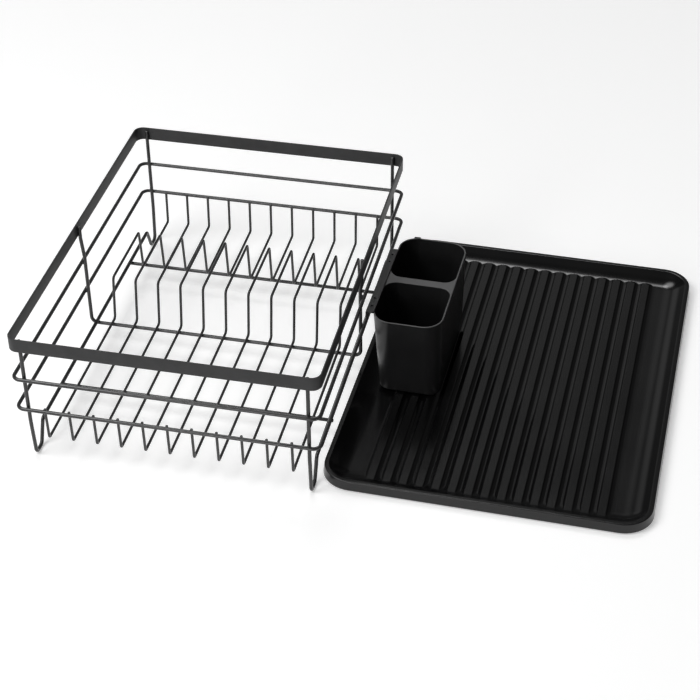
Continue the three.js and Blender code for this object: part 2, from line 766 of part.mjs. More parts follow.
addPart('rim_band', makeRimBand(), steel);
addPart('upper_ring_wire', makeRing(upperRingZ), steel);
addPart('lower_ring_wire', makeRing(lowerRingZ), steel);
addPart('left_runner_frame', makeRunnerFrame(-runnerX), steel);
addPart('right_runner_frame', makeRunnerFrame(runnerX), steel);
addPart('front_cross_wire', makeCrossWire(CROSS_WIRE_OFFSET - CROSS_WIRE_SPACING), steel);
addPart('middle_cross_frame', makeMiddleFrame(), steel);
addPart('back_cross_wire', makeCrossWire(CROSS_WIRE_OFFSET + CROSS_WIRE_SPACING), steel);
for (let i = 0; i < DISH_WIRE_COUNT; i += 1) {
  const x = (i - (DISH_WIRE_COUNT - 1) / 2) * dishPitch;
  addPart(`dish_wire_${String(i + 1).padStart(2, '0')}`, makeDishWire(x), steel);
}

// The tray and the holder stand beside the rack, turned slightly to it

const trayRightOfRack = (RACK_WIDTH + TRAY_WIDTH) / 2 - TRAY_TUCK_UNDER_RACK;
const trayPlace = new THREE.Matrix4()
  .makeRotationZ(THREE.MathUtils.degToRad(TRAY_TURN_DEGREES))
  .setPosition(trayRightOfRack, TRAY_CENTRE_BEHIND_RACK, 0);
addPart('drip_tray', makeTray(), black, trayPlace);

const holderBase = TRAY_FLOOR_THICKNESS + RIB_HEIGHT + STANDING_GAP;
const holderX = HOLDER_FROM_TRAY_EDGE + (HOLDER_WIDTH - TRAY_WIDTH) / 2;
const holderPlace = trayPlace.clone().multiply(new THREE.Matrix4()
  .makeTranslation(holderX, HOLDER_BEHIND_TRAY_CENTRE, holderBase));
const pockets = makePockets();
addPart('front_pocket', pockets.front, black, holderPlace);
addPart('back_pocket', pockets.back, black, holderPlace);
addPart('hook_flange', makeFlange(), black, holderPlace);

// The origin is the middle of the whole object's box, at the ground
const box = new THREE.Box3().setFromObject(object, true);
for (const mesh of object.children) {
  mesh.geometry.translate(-(box.min.x + box.max.x) / 2, -(box.min.y + box.max.y) / 2, -box.min.z);
}

export default object;
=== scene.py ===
"""Dish drainer: wire rack, drip tray and cutlery holder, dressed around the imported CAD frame.

Lengths are in metres and Z is up. The wires are round sections carried along bent lines. The tray is a
section carried round a rectangle, with a ribbed grid inside it. The holder is lofted from level loops.
"""

import bmesh
import bpy
import numpy as np
from mathutils import Matrix, Vector
from mathutils.geometry import delaunay_2d_cdt


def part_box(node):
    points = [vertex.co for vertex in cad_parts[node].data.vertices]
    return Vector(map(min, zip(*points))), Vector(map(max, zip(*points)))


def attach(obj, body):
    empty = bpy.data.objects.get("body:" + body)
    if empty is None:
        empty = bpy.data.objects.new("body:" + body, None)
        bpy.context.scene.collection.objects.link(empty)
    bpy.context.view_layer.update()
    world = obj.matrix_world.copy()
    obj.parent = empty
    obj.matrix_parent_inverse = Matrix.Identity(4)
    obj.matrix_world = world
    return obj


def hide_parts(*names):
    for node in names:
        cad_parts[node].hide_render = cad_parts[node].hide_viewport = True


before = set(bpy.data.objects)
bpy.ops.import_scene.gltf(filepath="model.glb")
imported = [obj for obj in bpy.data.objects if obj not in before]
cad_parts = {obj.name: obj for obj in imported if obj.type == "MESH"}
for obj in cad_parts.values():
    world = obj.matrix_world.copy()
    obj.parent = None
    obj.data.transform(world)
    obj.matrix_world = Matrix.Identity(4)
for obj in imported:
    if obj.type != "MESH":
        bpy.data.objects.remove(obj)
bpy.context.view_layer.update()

band_low, band_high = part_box("rim_band")
rack_x = (band_low.x + band_high.x) / 2
rack_y = (band_low.y + band_high.y) / 2

# Camera of the photograph: its axes, and its place beside the middle of the rack at the ground

CAMERA_RIGHT = Vector((0.97657, 0.21503, -0.00805))
CAMERA_DOWN = Vector((0.12403, -0.59304, -0.79557))
CAMERA_FORWARD = Vector((-0.17585, 0.77593, -0.60581))
CAMERA_PLACE = (0.46673, -1.45321, 1.16174)
FOCAL_LENGTH = 91.08
SENSOR_WIDTH = 36.0
CLIP_START = 0.05
CLIP_END = 60.0


def photograph_camera():
    """The scene's camera, turned and placed as the photograph's."""
    data = bpy.data.cameras.new("photograph_camera")
    data.lens = FOCAL_LENGTH
    data.sensor_width = SENSOR_WIDTH
    data.clip_start = CLIP_START
    data.clip_end = CLIP_END
    camera = bpy.data.objects.new("photograph_camera", data)
    turn = Matrix((CAMERA_RIGHT, -CAMERA_DOWN, -CAMERA_FORWARD)).transposed()
    place = (rack_x + CAMERA_PLACE[0], rack_y + CAMERA_PLACE[1], CAMERA_PLACE[2])
    camera.matrix_world = Matrix.Translation(place) @ turn.to_4x4()
    bpy.context.scene.collection.objects.link(camera)
    bpy.context.scene.camera = camera


photograph_camera()
bpy.context.scene.view_settings.view_transform = "Standard"

# Materials

CLOUD_DETAIL = 4
DARK_UP_TO = 0.35
LIGHT_FROM = 0.7
PORE_DETAIL = 3
BUMP_STRENGTH = 0.35


def tree(name):
    """A new material with its Principled shader and output."""
    material = bpy.data.materials.new(name)
    material.use_nodes = True
    nodes = material.node_tree.nodes
    nodes.clear()
    shader = nodes.new("ShaderNodeBsdfPrincipled")
    output = nodes.new("ShaderNodeOutputMaterial")
    material.node_tree.links.new(shader.outputs["BSDF"], output.inputs["Surface"])
    return material, material.node_tree, shader


def finish_material(name, dark, light, colour_scale, roughness, bump_scale, bump_distance, specular):
    """Two close tones mixed by soft noise, roughness that follows it, and a fine bump.

    All of them read Object coordinates.
    """
    material, node_tree, shader = tree(name)
    nodes, links = node_tree.nodes, node_tree.links
    place = nodes.new("ShaderNodeTexCoord")
    cloud = nodes.new("ShaderNodeTexNoise")
    cloud.inputs["Scale"].default_value = colour_scale
    cloud.inputs["Detail"].default_value = CLOUD_DETAIL
    links.new(place.outputs["Object"], cloud.inputs["Vector"])
    tone = nodes.new("ShaderNodeValToRGB")
    tone.color_ramp.elements[0].position = DARK_UP_TO
    tone.color_ramp.elements[0].color = (*dark, 1)
    tone.color_ramp.elements[1].position = LIGHT_FROM
    tone.color_ramp.elements[1].color = (*light, 1)
    links.new(cloud.outputs["Fac"], tone.inputs["Fac"])
    links.new(tone.outputs["Color"], shader.inputs["Base Color"])
    gloss = nodes.new("ShaderNodeMapRange")
    gloss.inputs["To Min"].default_value = roughness[0]
    gloss.inputs["To Max"].default_value = roughness[1]
    links.new(cloud.outputs["Fac"], gloss.inputs["Value"])
    links.new(gloss.outputs["Result"], shader.inputs["Roughness"])
    shader.inputs["Specular IOR Level"].default_value = specular
    pores = nodes.new("ShaderNodeTexNoise")
    pores.inputs["Scale"].default_value = bump_scale
    pores.inputs["Detail"].default_value = PORE_DETAIL
    links.new(place.outputs["Object"], pores.inputs["Vector"])
    bump = nodes.new("ShaderNodeBump")
    bump.inputs["Strength"].default_value = BUMP_STRENGTH
    bump.inputs["Distance"].default_value = bump_distance
    links.new(pores.outputs["Fac"], bump.inputs["Height"])
    links.new(bump.outputs["Normal"], shader.inputs["Normal"])
    return material


coated_wire = finish_material(
    "powder_coat_dark", dark=(0.026, 0.026, 0.0267), light=(0.038, 0.038, 0.0388), colour_scale=60,
    roughness=(0.14, 0.20), bump_scale=1500, bump_distance=0.00004, specular=0.55,
)
coated_band = finish_material(
    "powder_coat_band", dark=(0.038, 0.038, 0.0388), light=(0.050, 0.050, 0.0510), colour_scale=60,
    roughness=(0.44, 0.56), bump_scale=1500, bump_distance=0.00005, specular=0.3,
)
tray_plastic = finish_material(
    "tray_satin_plastic", dark=(0.0020, 0.0020, 0.0022), light=(0.0032, 0.0032, 0.0034), colour_scale=18,
    roughness=(0.15, 0.20), bump_scale=1800, bump_distance=0.00002, specular=0.5,
)
holder_plastic = finish_material(
    "holder_satin_plastic", dark=(0.0120, 0.0120, 0.0124), light=(0.0155, 0.0155, 0.0160), colour_scale=25,
    roughness=(0.26, 0.34), bump_scale=1800, bump_distance=0.00003, specular=0.5,
)
# Rim and web top: the holder's plastic again in a far lighter tone, painted light where the level top faces
# the lamp; it is also rougher.
lit_rim_plastic = finish_material(
    "holder_rim_lit_matte_plastic", dark=(0.084, 0.084, 0.085), light=(0.100, 0.100, 0.101), colour_scale=40,
    roughness=(0.50, 0.60), bump_scale=1600, bump_distance=0.00005, specular=0.5,
)
flange_plastic = finish_material(
    "flange_satin_plastic", dark=(0.011, 0.011, 0.0114), light=(0.016, 0.016, 0.0165), colour_scale=30,
    roughness=(0.40, 0.48), bump_scale=1700, bump_distance=0.00004, specular=0.5,
)

CAD_MATERIALS = {
    "drip_tray": tray_plastic, "front_pocket": holder_plastic, "back_pocket": holder_plastic,
    "hook_flange": holder_plastic,
}
for name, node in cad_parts.items():
    node.data.materials.clear()
    node.data.materials.append(CAD_MATERIALS.get(name, coated_wire))

# Meshes

MERGE_STEPS_PER_METRE = 1e7
SAME_POINT = 1e-8
COUNT_TOLERANCE = 1e-6
SMALLEST_SQUARE = 1e-12
WIRE_SIDES = 16
DISH_WIRE_SIDES = 14
BEND_STEP_DEGREES = 7.5


def merged(points, faces):
    """Points closer than a tenth of a micrometre become one, and faces that lose all width go."""
    keys = np.round(points * MERGE_STEPS_PER_METRE).astype(np.int64)
    _, first, place = np.unique(keys, axis=0, return_index=True, return_inverse=True)
    place = place.reshape(-1)
    kept = []
    for face in place[faces].tolist():
        ring = [v for k, v in enumerate(face) if v != face[k - 1]]
        if len(ring) > 2:
            kept.append(ring)
    return points[first], kept


def piece(name, points, faces, material, body):
    """A closed smooth mesh at the origin that rides on a body."""
    points, faces = merged(np.asarray(points, float).reshape(-1, 3), np.asarray(faces))
    data = bpy.data.meshes.new(name)
    data.from_pydata(points.tolist(), [], faces)
    shape = bmesh.new()
    shape.from_mesh(data)
    bmesh.ops.recalc_face_normals(shape, faces=shape.faces)
    shape.to_mesh(data)
    shape.free()
    data.polygons.foreach_set("use_smooth", np.ones(len(faces), bool))
    data.materials.append(material)
    item = bpy.data.objects.new(name, data)
    bpy.context.scene.collection.objects.link(item)
    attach(item, body)
    return item


def grid_faces(rows, columns, close_rows=False, close_columns=False):
    """Quads between neighbours of a rows by columns grid of points."""
    r = np.arange(rows if close_rows else rows - 1)[:, None]
    c = np.arange(columns if close_columns else columns - 1)[None, :]
    next_r, next_c = (r + 1) % rows, (c + 1) % columns
    corners = r * columns + c, next_r * columns + c, next_r * columns + next_c, r * columns + next_c
    return np.stack(corners, -1).reshape(-1, 4)


def joined(surfaces):
    """Several point and face arrays as one."""
    points, faces, start = [], [], 0
    for some_points, some_faces in surfaces:
        points.append(some_points)
        faces.append(some_faces + start)
        start += len(some_points)
    return np.concatenate(points), np.concatenate(faces)


def unit(v):
    """The same direction with length 1."""
    return v / np.linalg.norm(v)


def bent_line(corners, radii):
    """Points and directions of straights between the corners, with an arc at each inner corner.

    An arc starts radius x tan(angle / 2) before its corner and goes on as
    start + radius x (inward x (1 - cos a) + before x sin a), in steps of a few degrees.
    """
    corners = np.array(corners, float)
    points, ways = [corners[0]], [unit(corners[1] - corners[0])]
    for corner, before_point, after_point, radius in zip(corners[1:-1], corners[:-2], corners[2:], radii):
        before, after = unit(corner - before_point), unit(after_point - corner)
        angle = np.arccos(np.clip(before @ after, -1, 1))
        start = corner - before * radius * np.tan(angle / 2)
        inward = unit(after - before * (before @ after))
        count = max(2, int(np.degrees(angle) / BEND_STEP_DEGREES) + 2)
        turned = np.linspace(0, angle, count)[:, None]
        points += list(start + radius * (inward * (1 - np.cos(turned)) + before * np.sin(turned)))
        ways += list(before * np.cos(turned) + inward * np.sin(turned))
    return np.array(points + [corners[-1]]), np.array(ways + [unit(corners[-1] - corners[-2])])


def tube(line, way, size, across, sides):
    """Points = line + size x (cosine x side + sine x across); side is square to the way and to across."""
    around = np.arange(sides) * 2 * np.pi / sides
    across = np.array(across, float)
    side = np.cross(way, across)
    spread = np.cos(around)[None, :, None] * side[:, None, :] + np.sin(around)[None, :, None] * across
    return (line[:, None, :] + size[:, None, None] * spread).reshape(-1, 3)


# A cut end closes over these shares of the radius, each at its own share of the radius from the end

END_SIZES = np.array([0.0, 0.72, 0.93, 1.0])
END_STEPS = np.array([0.0, 0.0, 0.10, 0.32])


def wire(corners, radii, radius, across, sides=WIRE_SIDES):
    """A round section carried along the bent line; the cut ends have a small round edge."""
    line, way = bent_line(corners, radii)
    back, count = END_STEPS * radius, len(END_STEPS)
    first_end, last_end = line[0] + way[0] * back[:, None], line[-1] - way[-1] * back[::-1, None]
    line = np.concatenate([first_end, line[1:-1], last_end])
    way = np.concatenate([np.repeat(way[:1], count, 0), way[1:-1], np.repeat(way[-1:], count, 0)])
    size = np.concatenate([END_SIZES, np.ones(len(line) - 2 * count), END_SIZES[::-1]]) * radius
    return tube(line, way, size, across, sides), grid_faces(len(line), sides, False, True)


def rounded_loop(half_x, half_y, radius, steps):
    """Points and outward directions of a rectangle with round corners, anticlockwise seen from above.

    A corner's directions are (cosine, sine), and its points are its centre plus the radius times them.
    """
    quarter = np.linspace(0, np.pi / 2, steps + 1)
    angle = np.concatenate([quarter + k * np.pi / 2 for k in (-1, 0, 1, 2)])
    sign_x = np.repeat([1, 1, -1, -1], steps + 1)
    sign_y = np.repeat([-1, 1, 1, -1], steps + 1)
    out = np.stack([np.cos(angle), np.sin(angle)], -1)
    centre = np.stack([sign_x * (half_x - radius), sign_y * (half_y - radius)], -1)
    return centre + radius * out, out


# Rack: lengths from its middle at the ground

RACK_WIDTH = 0.310
RACK_DEPTH = 0.410
RACK_HEIGHT = 0.148
BAND_HEIGHT = 0.015
BAND_THICKNESS = 0.0015
BAND_CORNER = 0.010
BAND_CORNER_STEPS = 14
BAND_EDGE_ROUND = 0.00045
BAND_EDGE_STEPS = 4
FRAME_RADIUS = 0.00195
DISH_RADIUS = 0.00145
WELD_GAP = 0.00025
WIRE_TOP = 0.1455

UPPER_RING = 0.0996
LOWER_RING = 0.0629
RING_X = 0.15335
RING_Y = 0.20545
RING_CORNER = 0.008
RING_CORNER_STEPS = 10

RUNNER_X = 0.1421
RUNNER_Z = 0.0266
LEG_Y = 0.2013
LEG_KNEE_Z = 0.045
TOE_INSET = 0.0032
FOOT_LENGTH = 0.0146
RISER_RUN = 0.0105
RUNNER_BENDS = [0.070, 0.0056, 0.0056, 0.005]

CROSS_Z = 0.02245
CROSS_Y = (-0.1123, 0.1143)
CROSS_OVERHANG = 0.0008
MIDDLE_Y = -0.0014
UPRIGHT_X = 0.1492
UPRIGHT_TOP_X = 0.1513
JOGGLE_TOP = 0.130
JOGGLE_FOOT = 0.10755
MIDDLE_BENDS = [0.020, 0.020, 0.007]

DISH_COUNT = 11
DISH_PITCH = 0.025
DISH_PLACES = [(i - DISH_COUNT // 2) * DISH_PITCH for i in range(DISH_COUNT)]
DISH_FLOOR = 0.0261
DISH_END_Y = 0.2002
STUB_Y = 0.2018
STUB_FOOT = 0.06095
STUB_TOP = 0.0639
HUMP_TOP = 0.0750
HUMP_FRONT_Y = (0.0054, 0.0122)
HUMP_BACK_Y = (0.101, 0.106)
DISH_BENDS = [0.0028, 0.0028, 0.0045, 0.0045, 0.0024, 0.0045, 0.0028, 0.0028]


def in_rack(points):
    """Rack points set round the rack's middle."""
    return points + np.array([rack_x, rack_y, 0.0])


def ring_wire(height):
    """A round section carried round a level rectangle with bent corners, set round its line as in a tube."""
    loop, out = rounded_loop(RING_X, RING_Y, RING_CORNER, RING_CORNER_STEPS)
    line = np.column_stack([loop, np.full(len(loop), height)])
    way = np.column_stack([-out[:, 1], out[:, 0], np.zeros(len(out))])
    points = tube(line, way, np.full(len(line), FRAME_RADIUS), (0, 0, 1), WIRE_SIDES)
    return points, grid_faces(len(line), WIRE_SIDES, True, True)


def runner_wire(x):
    """Leg, foot, riser, long bearer and the same mirrored, in one bent wire."""
    toe = LEG_Y - TOE_INSET
    heel = toe - FOOT_LENGTH
    half = [
        (LEG_Y, WIRE_TOP), (LEG_Y, LEG_KNEE_Z), (toe, FRAME_RADIUS), (heel, FRAME_RADIUS),
        (heel - RISER_RUN, RUNNER_Z),
    ]
    line = [(x, -y, z) for y, z in half] + [(x, y, z) for y, z in reversed(half)]
    return wire(line, RUNNER_BENDS + RUNNER_BENDS[::-1], FRAME_RADIUS, (1, 0, 0))


def cross_wire(y):
    """A straight wire that reaches a little past both runners."""
    reach = RUNNER_X + FRAME_RADIUS + CROSS_OVERHANG
    return wire([(-reach, y, CROSS_Z), (reach, y, CROSS_Z)], [], FRAME_RADIUS, (0, 0, 1))


def middle_wire():
    """Uprights inside the rings that run down into a cross wire below the dish wires."""
    half = [
        (UPRIGHT_TOP_X, WIRE_TOP), (UPRIGHT_TOP_X, JOGGLE_TOP),
        (UPRIGHT_X, JOGGLE_FOOT), (UPRIGHT_X, CROSS_Z),
    ]
    line = [(-x, MIDDLE_Y, z) for x, z in half] + [(x, MIDDLE_Y, z) for x, z in reversed(half)]
    return wire(line, MIDDLE_BENDS + MIDDLE_BENDS[::-1], FRAME_RADIUS, (0, 1, 0))


def dish_wire(x):
    """Stub, floor run, raised run, floor run and stub in one bent wire."""
    line = [
        (-STUB_Y, STUB_TOP), (-STUB_Y, STUB_FOOT), (-DISH_END_Y, DISH_FLOOR), (HUMP_FRONT_Y[0], DISH_FLOOR),
        (HUMP_FRONT_Y[1], HUMP_TOP), (HUMP_BACK_Y[0], HUMP_TOP), (HUMP_BACK_Y[1], DISH_FLOOR),
        (DISH_END_Y, DISH_FLOOR), (STUB_Y, STUB_FOOT), (STUB_Y, STUB_TOP),
    ]
    return wire([(x, y, z) for y, z in line], DISH_BENDS, DISH_RADIUS, (1, 0, 0), DISH_WIRE_SIDES)


def band_surface():
    """A flat strip's section with round edges, carried round the rack's top.

    Points = loop + the section's first value x outward direction, at the middle height + its second value.
    """
    section, _ = rounded_loop(BAND_THICKNESS / 2, BAND_HEIGHT / 2, BAND_EDGE_ROUND, BAND_EDGE_STEPS)
    loop, out = rounded_loop(
        RACK_WIDTH / 2 - BAND_THICKNESS / 2, RACK_DEPTH / 2 - BAND_THICKNESS / 2,
        BAND_CORNER - BAND_THICKNESS / 2, BAND_CORNER_STEPS,
    )
    flat = loop[:, None, :] + section[None, :, :1] * out[:, None, :]
    height = np.broadcast_to(RACK_HEIGHT - BAND_HEIGHT / 2 + section[None, :, 1:], flat[..., :1].shape)
    points = np.concatenate([flat, height], -1).reshape(-1, 3)
    return points, grid_faces(len(loop), len(section), True, True)


# Weld beads: half sizes, and the heights of the two on each wire that stands against the band

BEAD_ON_CROSS = (0.0013, 0.0014, 0.0008)
BEAD_ON_RING = (0.0013, 0.0007, 0.0015)
BEAD_ON_RUNNER = (0.0018, 0.0018, 0.0010)
BEAD_ON_LEG = (0.0018, 0.0009, 0.0018)
BEAD_ON_UPRIGHT = (0.0009, 0.0018, 0.0018)
BEAD_ON_BAND = (0.0015, 0.00045, 0.0026)
BEAD_ON_BAND_SIDE = (0.00045, 0.0015, 0.0026)
BAND_BEADS_Z = (0.1365, 0.1425)
BEAD_COLUMNS = 13
BEAD_ROWS = 9


def weld_beads(places, sizes):
    """Flattened balls of weld at the crossings: each is a centre + half sizes x a unit ball's grid."""
    turn = np.linspace(0, 2 * np.pi, BEAD_COLUMNS)[None, :]
    rise = np.linspace(-np.pi / 2, np.pi / 2, BEAD_ROWS)[:, None]
    ball = np.stack([np.cos(rise) * np.cos(turn), np.cos(rise) * np.sin(turn), np.sin(rise) + 0 * turn], -1)
    points = np.array(places)[:, None, None, :] + np.array(sizes)[:, None, None, :] * ball
    starts = np.arange(len(places))[:, None, None] * BEAD_ROWS * BEAD_COLUMNS
    return points.reshape(-1, 3), (grid_faces(BEAD_ROWS, BEAD_COLUMNS)[None] + starts).reshape(-1, 4)


def bead_list():
    """Where wires touch: dish wires and runners on cross wires, all uprights on the rings and the band."""
    both = (-1, 1)
    rings = (UPPER_RING, LOWER_RING)
    under_dish = DISH_FLOOR - DISH_RADIUS - WELD_GAP / 2
    stub_side = STUB_Y + DISH_RADIUS + WELD_GAP / 2
    over_cross = CROSS_Z + FRAME_RADIUS + WELD_GAP / 2
    leg_side = LEG_Y + FRAME_RADIUS + WELD_GAP / 2
    side = UPRIGHT_X + FRAME_RADIUS + WELD_GAP / 2
    top_side = UPRIGHT_TOP_X + FRAME_RADIUS + WELD_GAP / 2
    cross_lines = (*CROSS_Y, MIDDLE_Y)
    groups = [
        ([(x, y, under_dish) for x in DISH_PLACES for y in cross_lines], BEAD_ON_CROSS),
        ([(x, s * stub_side, LOWER_RING) for x in DISH_PLACES for s in both], BEAD_ON_RING),
        ([(s * RUNNER_X, y, over_cross) for s in both for y in cross_lines], BEAD_ON_RUNNER),
        ([(s * RUNNER_X, t * leg_side, z) for s in both for t in both for z in rings], BEAD_ON_LEG),
        ([(s * side, MIDDLE_Y, z) for s in both for z in rings], BEAD_ON_UPRIGHT),
        ([(s * RUNNER_X, t * leg_side, z) for s in both for t in both for z in BAND_BEADS_Z], BEAD_ON_BAND),
        ([(s * top_side, MIDDLE_Y, z) for s in both for z in BAND_BEADS_Z], BEAD_ON_BAND_SIDE),
    ]
    places = [place for group, _ in groups for place in group]
    sizes = [size for group, size in groups for _ in group]
    return places, sizes


def dress_rack():
    """Every wire and the band in place of its CAD node, and the weld beads."""
    def made(name, surface):
        """One surface in place of its node."""
        coat = coated_band if name == "rim_band" else coated_wire
        item = piece(name + "_dressed", in_rack(surface[0]), surface[1], coat, "rack")
        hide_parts(name)

    made("rim_band", band_surface())
    made("upper_ring_wire", ring_wire(UPPER_RING))
    made("lower_ring_wire", ring_wire(LOWER_RING))
    made("left_runner_frame", runner_wire(-RUNNER_X))
    made("right_runner_frame", runner_wire(RUNNER_X))
    made("front_cross_wire", cross_wire(CROSS_Y[0]))
    made("back_cross_wire", cross_wire(CROSS_Y[1]))
    made("middle_cross_frame", middle_wire())
    for count, x in enumerate(DISH_PLACES, 1):
        made(f"dish_wire_{count:02d}", dish_wire(x))
    points, faces = weld_beads(*bead_list())
    piece("weld_beads", in_rack(points), faces, coated_wire, "rack")


dress_rack()

# Drip tray: lengths from its own middle at the ground, insets from its outer edge at the top

TRAY_WIDTH = 0.3248
TRAY_DEPTH = 0.4362
TRAY_HEIGHT = 0.0117
TRAY_CORNER = 0.030
TRAY_CORNER_FAN = 12
TRAY_WALL = 0.002
TRAY_FLOOR = 0.0022
TRAY_CENTRE = (0.3136, 0.0266)
TRAY_TURN = np.radians(-1.3)
LIP_WIDTH = 0.0046
BASIN_RUN = 0.0140
UNDERSIDE_RUN = 0.0126
SKIRT_FOOT = 0.0015
SKIRT_FLARE = 0.0014
SECTION_ROUNDS = [0.006, 0.0008, 0.0008, 0.0006, 0.0006, 0.0009, 0.0018, 0.0350]
SECTION_STEPS = 14
ROUND_REACH = 0.93
FINE_FROM_ABOVE = 0.0170
FINE_FROM_BELOW = 0.0215
FINE_STEP = 0.0008
WHOLE_STRETCH = 1.0

# Ribs above and channels below: half width of the top, then how far it keeps from the tray's back and front

RIB_ABOVE = (0.004, 0.0224, 0.0100)
RIB_BELOW = (0.003, 0.0285, 0.0232)
RIBS_FROM = 0.0095
CHANNELS_FROM = 0.0210
RIB_COUNT = 15
RIB_PITCH = 0.0163
RIB_OUTER = RIB_COUNT // 2 * RIB_PITCH
RIB_RISE = 0.0028
RIB_FOOT = 0.3
RIB_STEP = 0.75
FLANK_SHARE = 0.65
EDGE_SHARE = 0.35
RIB_OVERSHOOT = 1.04
RIB_TOP_BLEND = 0.12
RIB_END_RUN = 0.0026
RIB_END_CORNER = 0.0034
FLOOR_BLEND = 0.0007
LINES_BESIDE_RIB = np.array([
    0.0034, 0.0038, 0.0041, 0.0044, 0.0048, 0.0053, 0.0059, 0.0066, 0.0073, 0.00815,
])
EDGE_LINE = 0.1265
LEVEL_ROWS = 9
SAME_PLACE_DIGITS = 7


def in_tray(points):
    """Tray points turned with it and set beside the rack."""
    c, s = np.cos(TRAY_TURN), np.sin(TRAY_TURN)
    x = rack_x + TRAY_CENTRE[0] + c * points[:, 0] - s * points[:, 1]
    y = rack_y + TRAY_CENTRE[1] + s * points[:, 0] + c * points[:, 1]
    return np.column_stack([x, y, points[:, 2]])


def smooth_low(a, b, reach):
    """The lower of two heights, less a parabola of the given reach where they meet."""
    near = np.clip(reach - np.abs(a - b), 0, None)
    return np.minimum(a, b) - near * near / (4 * reach)


def smooth_high(a, b, reach):
    """The higher of two heights, plus a parabola of the given reach where they meet."""
    return -smooth_low(-a, -b, reach)


def rounded_section(corners, radii, steps):
    """A line of [inset, height] corners, each inner corner replaced by an arc of its radius.

    An arc reaches radius / tan(half the corner's angle) from the corner, and no further than a share of the
    stretches beside it. Its points are centre + (sin((1 - s) w) x start + sin(s w) x end) / sin w, where
    s is a share of its whole turn w.
    """
    corners = np.array(corners, float)
    parts = [corners[:1]]
    for corner, before, after, radius in zip(corners[1:-1], corners[:-2], corners[2:], radii):
        back, on = unit(before - corner), unit(after - corner)
        half = np.arccos(np.clip(back @ on, -1, 1)) / 2
        reach = min(
            radius / np.tan(half), ROUND_REACH * np.linalg.norm(before - corner),
            ROUND_REACH * np.linalg.norm(after - corner),
        )
        centre = corner + unit(back + on) * reach / np.cos(half)
        start, end = corner + back * reach - centre, corner + on * reach - centre
        whole = np.pi - 2 * half
        share = np.linspace(0, 1, steps + 1)[:, None]
        swept = np.sin((1 - share) * whole) * start + np.sin(share * whole) * end
        parts.append(centre + swept / np.sin(whole))
    parts.append(corners[-1:])
    return np.concatenate(parts)


def refined(line, longest):
    """The same line with each stretch cut into equal parts no longer than its own limit."""
    lengths = np.linalg.norm(np.diff(line, axis=0), axis=1)
    counts = np.maximum(1, np.ceil(lengths / longest - COUNT_TOLERANCE)).astype(int)
    parts = [a + (b - a) * (np.arange(n) / n)[:, None] for a, b, n in zip(line[:-1], line[1:], counts)]
    return np.concatenate([*parts, line[-1:]])


def rib_rise(x, y, half_top, back, front):
    """Full rise inside a top with round corners of radius c; outside it a steep edge above a gentle flank.

    d = hypot(side + c, end + c) - c, and the run goes from the sides' to the ends' by their shares of the
    squares. With t = 1 - d / run and the foot's share w, the flank is t x t / 2w up to w and t - w / 2 above
    it, over its value at 1. The edge is the square of t's share of the way from the step to 1.
    """
    between = np.abs((x + RIB_PITCH / 2) % RIB_PITCH - RIB_PITCH / 2)
    side = np.where(np.abs(x) > RIB_OUTER, np.abs(x) - RIB_OUTER, between) - half_top
    end = np.maximum(y - TRAY_DEPTH / 2 + back, front - TRAY_DEPTH / 2 - y)
    side, end = np.clip(side + RIB_END_CORNER, 0, None), np.clip(end + RIB_END_CORNER, 0, None)
    away = np.clip(np.hypot(side, end) - RIB_END_CORNER, 0, None)
    share = end ** 2 / np.clip(side ** 2 + end ** 2, SMALLEST_SQUARE, None)
    run = (RIB_PITCH / 2 - half_top) * (1 - share) + RIB_END_RUN * share
    fall = 1 - np.clip(away / run, 0, 1)
    foot = fall * fall / (2 * RIB_FOOT)
    flank = np.where(fall < RIB_FOOT, foot, fall - RIB_FOOT / 2) / (1 - RIB_FOOT / 2)
    edge = np.clip((fall - RIB_STEP) / (1 - RIB_STEP), 0, 1) ** 2
    height = RIB_OVERSHOOT * (FLANK_SHARE * flank + EDGE_SHARE * edge)
    return RIB_RISE * smooth_low(height, np.full_like(fall, 1.0), RIB_TOP_BLEND)


def tray_section():
    """The rim's section from the floor's underside round the skirt and the lip to the floor's top."""
    top, floor, wall = TRAY_HEIGHT, TRAY_FLOOR, TRAY_WALL
    slope = np.arctan2(top - floor, UNDERSIDE_RUN)
    under = LIP_WIDTH - wall / np.sin(slope) + wall / np.tan(slope)
    corners = [
        (TRAY_CORNER, 0), (under + (top - wall) / np.tan(slope), 0), (under, top - wall), (wall, top - wall),
        (wall - SKIRT_FLARE, SKIRT_FOOT), (-SKIRT_FLARE, SKIRT_FOOT), (0, top), (LIP_WIDTH, top),
        (LIP_WIDTH + BASIN_RUN, floor), (TRAY_CORNER, floor),
    ]
    line = rounded_section(corners, SECTION_ROUNDS, SECTION_STEPS)
    upper = np.arange(len(line) - 1) > line[:, 0].argmin()
    fine = np.where(upper, line[1:, 0] > FINE_FROM_ABOVE, line[1:, 0] > FINE_FROM_BELOW)
    return refined(line, np.where(fine, FINE_STEP, WHOLE_STRETCH))


def tray_lines(half_x, half_y):
    """The level grid's lines: across, close together at the ribs' flanks, and evenly along."""
    beside = np.concatenate([-LINES_BESIDE_RIB[::-1], [0], LINES_BESIDE_RIB])
    at_ribs = ((np.arange(RIB_COUNT) - RIB_COUNT // 2)[:, None] * RIB_PITCH + beside).ravel()
    across = np.concatenate([at_ribs, [-half_x, -EDGE_LINE, EDGE_LINE, half_x]])
    return np.unique(np.round(across, SAME_PLACE_DIGITS)), np.linspace(-half_y, half_y, LEVEL_ROWS)


